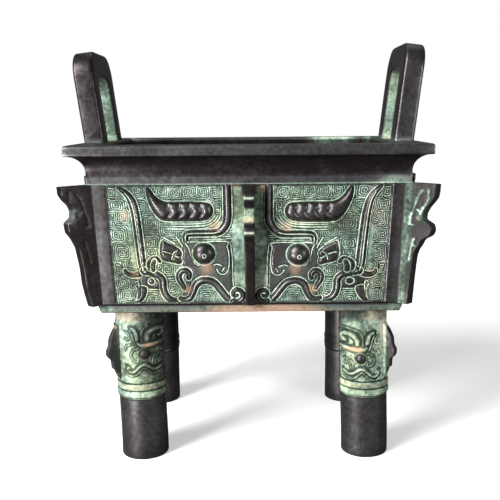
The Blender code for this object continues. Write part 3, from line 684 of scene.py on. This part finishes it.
for side, outwards, half_along, half_out, spacing, pitch in (
        ("front", (0, -1), HALF_LENGTH, HALF_WIDTH, 0.3, 1.08),
        ("back", (0, 1), HALF_LENGTH, HALF_WIDTH, 0.43, 1.42),
        ("left", (-1, 0), HALF_WIDTH, HALF_LENGTH, 0.43, 1.42),
        ("right", (1, 0), HALF_WIDTH, HALF_LENGTH, 0.43, 1.42)):
    for hand in (-1, 1):
        along = (outwards[1] * hand, outwards[0] * hand)
        half_side(f"mask_{side}_{'a' if hand < 0 else 'b'}", half_along, half_out, outwards, along,
                  spacing, pitch)

# The flanges of the body
# A hooked flange stands on each corner and on the middle of each side, where the sections of
# the mould met. They are part of the casting and are rubbed almost black.
FLANGE_REACH, CORNER_REACH, FLANGE_THICKNESS, FLANGE_ROUND = 15.2, 16.3, 6.0, 0.9
FLANGE_ROOT, FLANGE_STEP = 4.0, 0.75
# The edge's form at each kind of flange: (share of the reach, share of the height)
FLANGE_EDGES = {
    "middle": [(0.25, 0), (0.33, 0.14), (0.4, 0.3), (0.46, 0.45), (0.6, 0.55), (0.86, 0.6),
               (0.93, 0.66), (0.62, 0.71), (0.58, 0.78), (0.72, 0.83), (0.9, 0.87), (1, 0.92),
               (1, 1)],
    "left": [(0.24, 0), (0.33, 0.1), (0.4, 0.2), (0.42, 0.33), (0.48, 0.43), (0.52, 0.5),
             (0.62, 0.55), (0.71, 0.59), (0.85, 0.63), (0.88, 0.71), (0.63, 0.745), (0.6, 0.8),
             (0.69, 0.85), (0.87, 0.89), (1, 0.94), (1, 1)],
    "right": [(0.22, 0), (0.25, 0.2), (0.28, 0.33), (0.31, 0.41), (0.38, 0.46), (0.5, 0.5),
              (0.6, 0.55), (0.9, 0.585), (0.97, 0.63), (0.9, 0.68), (0.57, 0.71), (0.58, 0.76),
              (0.69, 0.81), (0.84, 0.85), (0.97, 0.89), (1, 0.94), (1, 1)],
}
# Cut lines on both faces of a flange: (out from the body, height)
FLANGE_LINES = [
    [(7.6, 167.6), (4.8, 163.6), (2.8, 156.3), (1.2, 152), (0.9, 148)],
    [(0.9, 147.8), (3.4, 147.5)], [(4.7, 156.7), (6.9, 155.8)],
    [(11.5, 168.5), (12, 163), (9.5, 158.5), (7.3, 154.5)],
    [(4.6, 139.6), (3.2, 134), (2.4, 127)], [(3.3, 136.2), (5.4, 135.6)]]
# The notch in every edge, and the tops of the middle flanges' blocks, which are painted pale as a
# painted highlight: (share of the height, half their width as a share)
NOTCH_BOTTOM, NOTCH_TOP = 0.68, 0.84
BLOCK_TOPS = [(0.905, 0.018), (0.625, 0.02)]


def blade(reach, half, root, rounding, flank_points, front_points):
    """The section of a flange at each height: how far out its points lie, and how far aside."""
    bend = np.radians(np.linspace(0, 90, 5))
    flank = np.linspace(0, 1, flank_points)[:-1]
    side_out = np.hstack([(reach - rounding + root) * flank - root,
                          reach - rounding + rounding * np.sin(bend)])
    side_off = np.hstack([half + 0 * flank, half - rounding + rounding * np.cos(bend)])
    front = np.linspace(1, -1, front_points)[1:-1] * (half - rounding)
    return (np.hstack([side_out, reach + 0 * front, side_out[:, ::-1]]),
            np.hstack([side_off, front, -side_off[:, ::-1]]))


def flange(name, edge, longest, root, outwards, slope, foot_out, notch_pale, cap, cut_pale):
    """A flange: the form of its edge and its reach, its root point, the way that it stands out,
    how the body leans there, where the walls let it out, how pale its notch is, how much wider
    its top is, and how pale its cut lines are."""
    height = np.append(np.arange(SIDE_BOTTOM, SIDE_TOP, FLANGE_STEP), SIDE_TOP)[:, None]
    shares = (height[:, 0] - SIDE_BOTTOM) / (SIDE_TOP - SIDE_BOTTOM)
    reach = np.interp(shares, [up for out, up in edge], [out for out, up in edge])
    reach = (np.convolve(np.pad(reach, 1, mode="edge"), [0.25, 0.5, 0.25], "valid")
             * longest)[:, None]
    half = FLANGE_THICKNESS / 2 + cap * ramp(height, 166.5, 168)
    out, off = blade(reach, half, FLANGE_ROOT, FLANGE_ROUND, 17, 5)
    level = height + 0 * out
    cut = np.full(out.shape, 99.0)
    for line in FLANGE_LINES:
        cut = np.minimum(cut, stroke_gap(out, level, smooth_line(line)))
    groove = ramp(0.9 - cut, 0, 0.5) * ramp(np.abs(off), half - 0.6, half - 0.2)
    off = off - 0.3 * groove * np.sign(off)
    out = out + slope * (height - SIDE_BOTTOM)
    along = np.array([-outwards[1], outwards[0]])
    flat = np.array(root) + out[..., None] * np.array(outwards) + off[..., None] * along
    notch = ramp(shares, NOTCH_BOTTOM, NOTCH_BOTTOM + 0.04)
    notch = (notch * ramp(-shares, -NOTCH_TOP, 0.04 - NOTCH_TOP))[:, None]
    notch = notch * notch_pale * ramp(out, reach - 1.5, reach - 0.5)
    wall = slope * (height - SIDE_BOTTOM) + foot_out
    foot = ramp(wall - out, -0.8, 0)
    if cut_pale > 0.5:
        foot = foot + 1.2 * ramp(wall + 6 - out, 0, 3) * (1 - foot)
    low = ramp(-shares, -0.77, -0.72)[:, None]
    # Painted highlight on the tops of the middle flanges' blocks
    tops = sum(np.exp(-((shares - share) / width) ** 2) for share, width in BLOCK_TOPS)
    glint = tops[:, None] * ramp(out, reach - 1.2, reach - 0.4) * (cap > 0)
    # How bare the flange is: less on the right corners, while the left ones stay darker partly as
    # painted shade
    flange_bareness = 0.58 if cut_pale > 0.5 else 0.98
    mark = np.stack([flange_bareness - 0.85 * notch - 0.9 * cut_pale * groove - 0.4 * foot - 0.7 * glint,
                     0.04 + notch * (0.56 + 0.16 * low) + 0.7 * cut_pale * groove + 0.28 * foot
                     + 0.8 * glint,
                     0.5 * notch * low + 0.08], axis=2)
    cast(name, np.concatenate([flat, level[..., None]], axis=2), mark)


for side, (x, y) in {"front": (0, -1), "back": (0, 1), "left": (-1, 0), "right": (1, 0)}.items():
    flange(f"flange_{side}", FLANGE_EDGES["middle"], FLANGE_REACH,
           (x * HALF_LENGTH, y * HALF_WIDTH), (x, y), FLARE, 0.0, 1.0, 1.4, 0.3)
DIAGONAL = math.sqrt(0.5)
CORNERS = {"front_left": (-1, -1), "front_right": (1, -1), "back_right": (1, 1),
           "back_left": (-1, 1)}
# The flanges on the right corners carry more verdigris and paler cut lines, and those on the left
# are barer and darker: partly their own patina, partly painted shade on the left
for corner, (x, y) in CORNERS.items():
    flange(f"flange_{corner}", FLANGE_EDGES["left" if x < 0 else "right"], CORNER_REACH,
           (x * HALF_LENGTH, y * HALF_WIDTH), (x * DIAGONAL, y * DIAGONAL), FLARE / DIAGONAL,
           -FLANGE_THICKNESS / 2, 0.5, 0.0, 0.9 if x > 0 else 0.3)

# The handles
# Two upright loops grow out of the short sides of the rim and lean outwards a little. Their
# outer faces are rubbed grey, with painted shade on the left handle and on every handle's sides,
# edges and top, and verdigris stays inside the loops and round their feet.
HANDLE_HALF, HANDLE_BAR, HANDLE_THICKNESS = 32.0, 15.0, 12.5
HANDLE_OUTER, HANDLE_INNER, HANDLE_EDGE = 15.0, 9.0, 2.0
HANDLE_MIDDLE, HANDLE_LEAN, HANDLE_SINK = 95.65, math.radians(7), 3.0


def loop_path(half, top, corner, legs, bends, bar):
    """Points up one post, round the top and down the other."""
    start, shoulder = half - corner, top - corner
    path = [(half, level) for level in np.linspace(-HANDLE_SINK, shoulder, legs)]
    for turn in np.radians(np.linspace(0, 90, bends))[1:]:
        path.append((start + corner * math.cos(turn), shoulder + corner * math.sin(turn)))
    path += [(x, top) for x in np.linspace(start, -start, bar)[1:]]
    for turn in np.radians(np.linspace(90, 180, bends))[1:]:
        path.append((corner * math.cos(turn) - start, shoulder + corner * math.sin(turn)))
    path += [(-half, level) for level in np.linspace(shoulder, -HANDLE_SINK, legs)[1:]]
    return np.array(path)


def handle(name, hand, top, tone):
    """One upright handle, on the left or right end of the rim."""
    outer = loop_path(HANDLE_HALF, top, HANDLE_OUTER, 14, 9, 12)
    inner = loop_path(HANDLE_HALF - HANDLE_BAR, top - HANDLE_BAR, HANDLE_INNER, 14, 9, 12)
    width = np.linalg.norm(outer - inner, axis=1)[:, None]
    section = []
    flat_half = HANDLE_THICKNESS / 2 - HANDLE_EDGE
    for quarter, (x, y) in enumerate(((1, -1), (1, 1), (0, 1), (0, -1))):
        for angle in np.radians(90 * quarter - 90 + np.linspace(0, 90, 5)):
            section.append((x, (math.cos(angle) - (1 if x else -1)) * HANDLE_EDGE,
                            y * flat_half + math.sin(angle) * HANDLE_EDGE))
    share, extra, off = (np.array(column) for column in zip(*section))
    from_inner = share * width + extra
    flat = inner[:, None] + from_inner[..., None] * ((outer - inner) / width)[:, None]
    across, level = flat[..., 0], flat[..., 1]
    off = off + 0 * across
    x = HANDLE_MIDDLE + off * math.cos(HANDLE_LEAN) + level * math.sin(HANDLE_LEAN)
    z = RIM_TOP + level * math.cos(HANDLE_LEAN) - off * math.sin(HANDLE_LEAN)
    inside = np.exp(-np.clip(from_inner, 0, 99) / 0.8) * ramp(-level, 12 - top, 18 - top)
    foot = ramp(-level, -6, -1)
    # Painted shade: the sides, rounded edges and top of the handle are painted darker
    flank = ramp(np.abs(off) / HANDLE_THICKNESS, 0.4, 0.48) + 0 * across
    crest = 0.6 * ramp(level, top - 4, top - 1) * (1 - flank)
    mark = np.stack([0.97 - 0.95 * inside - 0.5 * foot,
                     tone * (1 - 0.8 * flank - crest) + 0.36 * inside + 0.25 * foot,
                     0.15 * foot * inside + 0.05], axis=2)
    cast(name, np.stack([hand * x, across, z], axis=2), mark)


# The left handle's metal is painted darker than the right one's, a painted shade against the
# stronger light on the left
handle("handle_left", -1, 56.0, 0.12)
handle("handle_right", 1, 60.0, 0.3)

# The legs
# Four hollow-cast legs stand under the corners of the box. The upper part of each is a small
# animal mask round a flange, then two ring mouldings, then a plain foot worn smooth.
LEG_RADIUS, FOOT_RADIUS, RING_TOP, RING_HEIGHT, RING_BULGE = 14.7, 14.5, 49.0, 4.6, 0.9
LEG_X, LEG_Y = 69.4, 46.4
# Strokes of half the small mask: (round the leg from the flange, height, half width)
LEG_BANDS = [
    [(24.4, 74.1, 0.8), (27.5, 75.2, 1.3), (28.8, 77.1, 1.4), (25.3, 78.7, 1.4), (20.8, 78.3, 1.5),
     (17.7, 76.5, 1.6), (16.7, 74.5, 1.6), (16.7, 72.4, 1.5)],
    [(6.8, 80.2, 0.7), (9.3, 78.4, 1.2), (10.4, 75.2, 1.4), (11, 71.2, 1.4)],
    [(30.4, 70.4, 0.9), (23.5, 69.8, 1.3), (18.3, 69.1, 1.4), (13.9, 69.2, 1.4),
     (11.2, 70.2, 1.2)],
    [(27.5, 55.5, 0.6), (23.9, 53.9, 0.8), (20.8, 53.6, 0.9), (18, 55, 1), (15.4, 56.8, 1.1),
     (13.3, 56.8, 1.1), (10.9, 55.1, 1), (8.4, 52.8, 0.9), (5.9, 52.4, 0.8), (3.9, 54, 0.7),
     (3.2, 56, 0.5)],
]
LEG_THREADS = [
    [(34.7, 78.3), (31.4, 81.7), (25.3, 82.2), (19.7, 81.6), (15.8, 80.4), (13.9, 78.1),
     (13.3, 75.2), (13.3, 71.6)],
    [(6.2, 78.6), (7.8, 75.1), (8.6, 71.6), (10, 68.7)],
    [(29.5, 66.4), (30.8, 68), (27.5, 69), (26.1, 67.7)],
    [(25.8, 66.3), (26.3, 64.2), (28.8, 64.4), (28.5, 65.7)],
    [(10.9, 67.2), (8.1, 66), (6.5, 63.3), (7.3, 60.4), (9.4, 58.7), (10.9, 59.6), (10.4, 61)],
    [(21.1, 56.5), (21.3, 59.4), (23.5, 62.5), (26.3, 62.5), (27.1, 60.5), (24.8, 59.7)],
    [(19.3, 56.7), (19.8, 60.1), (21.5, 62.1)],
    [(28.1, 52.8), (23.5, 51.3), (19.7, 50.7), (17, 52.4), (14.5, 54.7), (12.7, 54),
     (10.3, 51.3), (7.2, 49.9), (3.9, 50.4), (1.3, 52.9)],
    [(5.6, 54.7), (4.4, 55.5), (4, 54)],
    [(3.2, 77.7), (5.2, 76.4), (5.9, 74.4), (4.6, 72.6), (2.8, 73.3)],
    [(5.9, 69.4), (3.5, 68.4), (2.8, 66.2)],
]
LEG_EYE, LEG_EYE_RADIUS, LEG_EYE_RISE = (14.8, 63.5), 2.9, 1.9
LEG_BAND_RISE, LEG_THREAD_RISE = 1.2, 0.6
# The left front leg's mask is turned and lifted, and the front legs lean to the right
MASK_TURN, MASK_LIFT, LEG_DRIFT = 1.6, 4.2, 1.8
SOLE_ROUND, HIDDEN_TOP = 0.8, 95
# The edge of a leg's flange: (out from the leg, height)
LEG_FLANGE_EDGE = [(0, 50.5), (1.2, 52), (2.5, 55), (3.1, 56.9), (4.5, 57.5), (4.9, 61.6),
                   (5.3, 63.4), (6.7, 64.6), (7.8, 66.4), (7.8, 69.3), (6.2, 72.2), (5.8, 76.4),
                   (4.5, 79.3), (2.7, 82.2), (0.9, 84.5)]
LEG_FLANGE_HALF, LEG_FLANGE_ANGLE = 2.0, math.radians(35)
LEG_FLANGE_ROOT, LEG_FLANGE_ROUND = 3.0, 0.8


def leg(name, place, columns, spacing):
    """A leg from the sole to its hidden top, its mask turned outwards."""
    height = np.concatenate([[0, 0.3, 0.8, 6, 14, 22, 30, 37], np.arange(38, RING_TOP, 0.45),
                             np.arange(RING_TOP, 84.5, spacing), np.arange(85, 99, 1.5)])[:, None]
    angle = np.linspace(-math.pi, math.pi, columns, endpoint=False)[None]
    around = np.abs(angle) * LEG_RADIUS + 0 * height
    up = height + 0 * around
    relief = Relief(around, up)
    if name == "front_left":
        around, up = around - MASK_TURN, up - MASK_LIFT * ramp(up, RING_TOP - 4, RING_TOP + 3)
    relief.pale += 0.55
    for line in LEG_BANDS:
        gap = stroke_gap(around, up, smooth_line(line))
        groove = ramp(1.1 - np.abs(gap - 0.5), 0, 0.6)
        relief.height -= 0.3 * groove
        relief.pale = relief.pale * (1 - groove) + 0.1 * groove
        relief.lift(height=LEG_BAND_RISE * ramp(-gap, -0.2, 0.8), pale=0.68 * ramp(-gap, 0, 0.5))
    for line in LEG_THREADS:
        gap = stroke_gap(around, up, smooth_line(line))
        groove = ramp(0.7 - np.abs(gap - 0.85), 0, 0.5)
        relief.height -= 0.2 * groove
        relief.pale = relief.pale * (1 - 0.8 * groove) + 0.08 * groove
        relief.lift(height=LEG_THREAD_RISE * ramp(0.5 - gap, 0, 0.4),
                    pale=0.64 * ramp(0.55 - gap, 0, 0.4))
    eye = np.hypot(around - LEG_EYE[0], up - LEG_EYE[1])
    halo = ramp(0.5 - np.abs(eye - LEG_EYE_RADIUS - 0.9), 0, 0.4)
    relief.pale = np.maximum(relief.pale * (1 - ramp(LEG_EYE_RADIUS + 1.7 - eye, 0, 0.4) * 0.8),
                             0.6 * halo)
    ball = dome(eye / LEG_EYE_RADIUS)
    relief.lift(height=np.maximum(LEG_EYE_RISE * ball, 0.5 * halo),
                bare=0.55 * ramp(ball, 0.1, 0.4))
    brow_glow = np.exp(-((up - 69.2) / 1.6) ** 2 - ((around - 18) / 7) ** 2)
    relief.lift(coppery=0.75 * brow_glow)
    around, up = relief.across, relief.up
    mask_zone = ramp(up, RING_TOP - 0.2, RING_TOP + 0.8) * ramp(-up, -88, -86)
    relief.height *= mask_zone
    # Under the body the top of the leg is painted darker, paler on its outer side: partly coppery
    # corrosion, partly painted shade
    top = ramp(up, 84, 90)
    outer_top = ramp(-around, -16, -8)
    relief.pale = relief.pale * (1 - top) + (0.2 + 0.45 * outer_top) * top
    relief.bare = relief.bare + (0.35 - 0.25 * outer_top) * top
    relief.coppery += (0.2 + 0.3 * outer_top) * top

    ring_share = (RING_TOP - up) / RING_HEIGHT
    in_rings = ramp(ring_share, -0.05, 0.02) * ramp(-ring_share, -2.1, -2.02)
    wave = np.abs((ring_share % 1) - 0.52) * 2
    bulge = RING_BULGE * (1 - 2 * np.clip(wave, 0, 1) ** 6)
    ring_bottom = RING_TOP - 2 * RING_HEIGHT
    lip = ramp(0.7 - np.abs(up - ring_bottom + 0.4), 0, 0.5) * 0.5
    inner_side = ramp(np.abs(angle) + 0 * up, math.radians(112), math.radians(140))
    radius = np.where(up > RING_TOP - 0.1, LEG_RADIUS, FOOT_RADIUS)
    radius = radius * (1 - in_rings) + (LEG_RADIUS + bulge * (1 - inner_side)) * in_rings
    radius = radius + lip + relief.height
    sole = np.clip(up / SOLE_ROUND, 0, 1)
    radius = radius - SOLE_ROUND * (1 - dome(1 - sole))
    dark_groove = in_rings * ramp(wave, 0.75, 0.95)
    relief.pale = relief.pale * (1 - in_rings) + in_rings * (0.68 - 0.66 * dark_groove)
    ring_glow = ramp(ring_share, 0.1, 0.3) * ramp(-ring_share, -0.9, -0.6)
    relief.lift(coppery=0.45 * in_rings * ring_glow)
    foot = ramp(-up, 0.6 - ring_bottom, 1.2 - ring_bottom)
    relief.bare = np.maximum(relief.bare * (1 - in_rings), 0.97 * foot)
    # The side facing in under the body is painted dark bare metal: partly a plainer finish, partly
    # painted shade
    relief.lift(bare=0.9 * inner_side)
    relief.pale *= (1 - foot) * (1 - 0.8 * inner_side)
    relief.lift(pale=0.33 * foot)
    relief.coppery *= 1 - foot

    outwards = math.atan2(np.sign(place[1]), np.sign(place[0]))
    east = radius * np.cos(outwards + angle)
    x = place[0] + east
    y = place[1] + radius * np.sin(outwards + angle)
    if place[1] < 0:
        x += LEG_DRIFT * ramp(-up, -HIDDEN_TOP, 0)
        # Painted light: the right front leg's mask is painted paler towards its right, and the
        # left front leg's paler just left of its middle and darker elsewhere as painted shade
        lit = 1.4 * ramp(east, 3, 11) if place[0] > 0 else np.exp(-((east + 6) / 6) ** 2) - 0.5
        relief.pale += 0.28 * lit * mask_zone
    mark = np.stack([relief.bare, relief.pale, relief.coppery], axis=2)
    cast(f"leg_{name}", np.stack([x, y, up], axis=2), mark)

    height = np.linspace(50.5, 84.5, 52)[:, None]
    reach = np.interp(height[:, 0], [up for out, up in LEG_FLANGE_EDGE],
                      [out for out, up in LEG_FLANGE_EDGE])[:, None]
    half = LEG_FLANGE_HALF * ramp(reach + 1.5, 0, 2.5)
    out, off = blade(reach, half, LEG_FLANGE_ROOT, LEG_FLANGE_ROUND, 8, 4)
    out = out + LEG_RADIUS
    way = math.atan2(np.sign(place[1]) * math.sin(LEG_FLANGE_ANGLE),
                     np.sign(place[0]) * math.cos(LEG_FLANGE_ANGLE))
    x = place[0] + out * math.cos(way) - off * math.sin(way)
    x += LEG_DRIFT * ramp(-height, -HIDDEN_TOP, 0) * (place[1] < 0)
    y = place[1] + out * math.sin(way) + off * math.cos(way)
    root = ramp(LEG_RADIUS + 3.2 - out, 0, 2)
    # The flange's root is pale verdigris on the right legs and dark on the left ones: partly their
    # own patina, partly painted light on the right and painted shade on the left
    tone = 0.5 if place[0] > 0 else 0.05
    mark = np.stack([0.52 - 0.45 * root, 0.02 + (tone + 0.2) * root, 0.1 + 0.2 * root], axis=2)
    cast(f"leg_flange_{name}", np.stack([x, y, height + 0 * x], axis=2), mark)


for corner, (x, y) in CORNERS.items():
    leg(corner, (x * LEG_X, y * LEG_Y), *((200, 0.45) if y < 0 else (150, 0.6)))

# The studio
# A pale floor under a big soft lamp at the upper left, with weak fill from the right, as the
# vessel was photographed.
FLOOR_HALF, WORLD_GLOW = 6.0, 0.12
work = bmesh.new()
bmesh.ops.create_grid(work, x_segments=1, y_segments=1, size=FLOOR_HALF)
mesh = bpy.data.meshes.new("floor")
work.to_mesh(mesh)
work.free()
floor_skin = Skin("pale_floor")
floor_seen = floor_skin.node("ShaderNodeLightPath", output="Is Camera Ray")
floor_paint = floor_skin.mix(floor_seen, (0.1, 0.1, 0.1, 1.0), (0.95, 0.94, 0.93, 1.0))
floor_lift = floor_skin.mix(floor_seen, (0.0, 0.0, 0.0, 1.0), (0.42, 0.42, 0.42, 1.0))
floor_skin.finish(Roughness=0.9, Base_Color=floor_paint, Emission_Color=floor_lift,
                  Emission_Strength=1.0)
mesh.materials.append(floor_skin.material)
floor = new_object("floor", mesh)


def soft_lamp(name, place, target, size, power):
    light = bpy.data.lights.new(name, "AREA")
    light.shape = "RECTANGLE"
    light.size, light.size_y = size
    light.energy = power
    lamp = new_object(name, light)
    direction = Vector(target) - Vector(place)
    lamp.matrix_world = Matrix.LocRotScale(Vector(place), direction.to_track_quat("-Z", "Y"), None)


key = bpy.data.lights.new("key", "SUN")
key.energy = 3.1
key.angle = math.radians(30)
key_lamp = new_object("key", key)
key_lamp.rotation_euler = Vector((0.8, 0.65, -0.75)).to_track_quat("-Z", "Y").to_euler()
soft_lamp("near", (-0.6, -0.55, 0.42), (0, 0, 0.12), (0.3, 0.3), 7)
soft_lamp("low", (-0.31, -0.36, 0.022), (0, -0.06, 0.02), (0.03, 0.035), 1.9)
soft_lamp("fill", (0.66, -0.56, 0.22), (0, 0, 0.1), (0.3, 0.3), 2.4)
soft_lamp("top", (0.1, 0.6, 1.3), (0, 0, 0.15), (1.0, 0.6), 2)
world = bpy.data.worlds.new("studio")
bpy.context.scene.world = world
world.use_nodes = True
sky = world.node_tree.nodes["Background"]
sky.inputs["Color"].default_value = (1.0, 1.0, 1.0, 1.0)
seen = world.node_tree.nodes.new("ShaderNodeLightPath")
bright = world.node_tree.nodes.new("ShaderNodeMapRange")
bright.inputs["To Min"].default_value = WORLD_GLOW
bright.inputs["To Max"].default_value = 1.0
world.node_tree.links.new(seen.outputs["Is Camera Ray"], bright.inputs["Value"])
world.node_tree.links.new(bright.outputs["Result"], sky.inputs["Strength"])
bpy.context.scene.view_settings.view_transform = "Standard"

# The camera, fitted to the corners, rim, legs and handles in the photo; its angles in degrees
CAMERA_PLACE = (0.00372, -0.5032, 0.20995)
CAMERA_PITCH, CAMERA_YAW, CAMERA_ROLL = 8.96, 0.27, -0.43
camera_data = bpy.data.cameras.new("camera")
camera_data.sensor_width = 36
camera_data.lens = 54.6
camera_data.shift_x, camera_data.shift_y = -0.0192, -0.02972
camera = new_object("camera", camera_data)
pitch, yaw, roll = (math.radians(angle) for angle in (CAMERA_PITCH, CAMERA_YAW, CAMERA_ROLL))
forward = Vector((math.sin(yaw) * math.cos(pitch), math.cos(yaw) * math.cos(pitch),
                  -math.sin(pitch)))
level_right = Vector((math.cos(yaw), -math.sin(yaw), 0))
level_up = level_right.cross(forward)
right = level_right * math.cos(roll) + level_up * math.sin(roll)
upright = level_up * math.cos(roll) - level_right * math.sin(roll)
camera.matrix_world = Matrix((right, upright, -forward)).transposed().to_4x4()
camera.location = CAMERA_PLACE
bpy.context.scene.camera = camera
